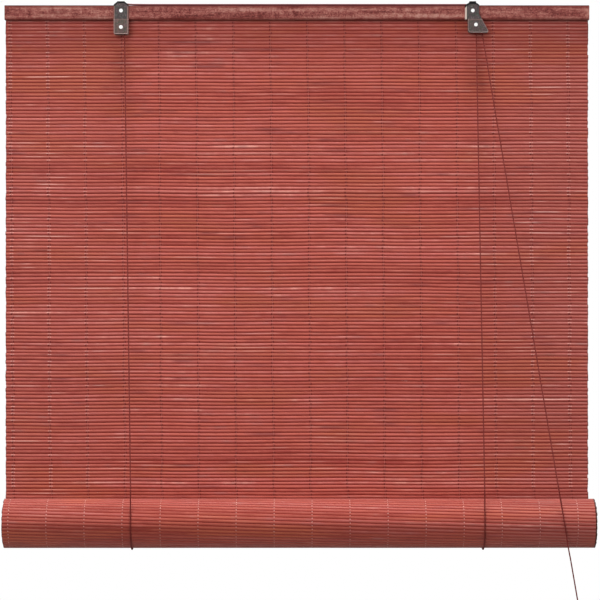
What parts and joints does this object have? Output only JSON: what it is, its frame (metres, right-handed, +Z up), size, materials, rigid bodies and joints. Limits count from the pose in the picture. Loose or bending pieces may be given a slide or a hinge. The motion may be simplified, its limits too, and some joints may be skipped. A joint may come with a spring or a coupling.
{
  "type": "bamboo roll up blind",
  "caption": "Window blind of split-bamboo slats that rolls up from below, lifted by two cord loops over rollers in steel brackets, with a cord lock and a pull cord.",
  "frame": {"origin": "midway between the two hang holes, on the wall face of the brackets' rear legs", "axes": "+X to the viewer's right along the head batten, +Y towards the wall, +Z up"},
  "size_m": [0.8035, 0.0899, 0.8706],
  "materials": {
    "stained_wood": "stained, matt",
    "stained_bamboo": "stained, satin",
    "warp_thread": "spun",
    "bracket_steel": "grey coated",
    "bright_steel": "bright wire",
    "white_nylon": "moulded",
    "braided_cord": "braided"
  },
  "bodies": {
    "headrail": {"head_batten": "stained_wood", "slat_mat": "stained_bamboo", "warp_threads": "warp_thread", "mat_staples": "bright_steel", "left_bracket": "bracket_steel", "right_bracket": "bracket_steel", "bracket_tacks": "bright_steel", "left_cord_front": "braided_cord", "right_cord_front": "braided_cord", "left_cord_back": "braided_cord", "right_cord_back": "braided_cord", "crossing_cord": "braided_cord", "lock_cord": "braided_cord", "anchor_staples": "bright_steel", "pull_cord_upper": "braided_cord"},
    "cord_loops": {"left_cord_loop": "braided_cord", "right_cord_loop": "braided_cord", "pull_cord_bend": "braided_cord"},
    "roll": {"mat_roll": "stained_bamboo", "bottom_rod": "stained_wood", "roll_threads": "warp_thread"},
    "left_upper": {"left_upper_roller": "white_nylon"},
    "left_lower": {"left_lower_roller": "white_nylon"},
    "right_upper": {"right_upper_roller": "white_nylon"},
    "lock": {"lock_roller": "white_nylon"},
    "pull": {"pull_cord_lower": "braided_cord", "pull_knob": "stained_wood", "pull_knot": "braided_cord"}
  },
  "joints": [
    {"name": "roll_lift", "type": "slide", "parent": "headrail", "child": "cord_loops", "axis": [0, 0, 1], "range_m": [0, 0.6], "deforming": ["slat_mat", "warp_threads", "left_cord_front", "right_cord_front", "left_cord_back", "right_cord_back", "pull_cord_upper"]},
    {"name": "roll_turn", "type": "hinge", "parent": "cord_loops", "child": "roll", "pos_m": [0, -0.04257, -0.6975], "axis": [-1, 0, 0], "range_deg": [0, 1000]},
    {"name": "left_upper_turn", "type": "hinge", "parent": "headrail", "child": "left_upper", "pos_m": [-0.24, -0.02, -0.0005], "axis": [0, -1, 0], "range_deg": [0, 16000]},
    {"name": "left_lower_turn", "type": "hinge", "parent": "headrail", "child": "left_lower", "pos_m": [-0.24, -0.02, -0.023], "axis": [0, -1, 0], "range_deg": [0, 16000]},
    {"name": "right_upper_turn", "type": "hinge", "parent": "headrail", "child": "right_upper", "pos_m": [0.24, -0.02, -0.0005], "axis": [0, 1, 0], "range_deg": [0, 16000]},
    {"name": "lock_slide", "type": "slide", "parent": "headrail", "child": "lock", "axis": [0.4226, 0, 0.9063], "range_m": [0, 0.0024]},
    {"name": "pull_travel", "type": "slide", "parent": "cord_loops", "child": "pull", "axis": [0.113, -0.0047, -0.9936], "range_m": [0, 1.8], "deforming": ["pull_cord_lower"]}
  ],
  "couplings": [
    {"joint": "roll_turn", "follows": "roll_lift", "rad_per_m": 29.009},
    {"joint": "left_upper_turn", "follows": "roll_lift", "rad_per_m": 465.12},
    {"joint": "left_lower_turn", "follows": "roll_lift", "rad_per_m": 465.12},
    {"joint": "right_upper_turn", "follows": "roll_lift", "rad_per_m": 465.12},
    {"joint": "pull_travel", "follows": "roll_lift", "ratio": 2.9904}
  ]
}
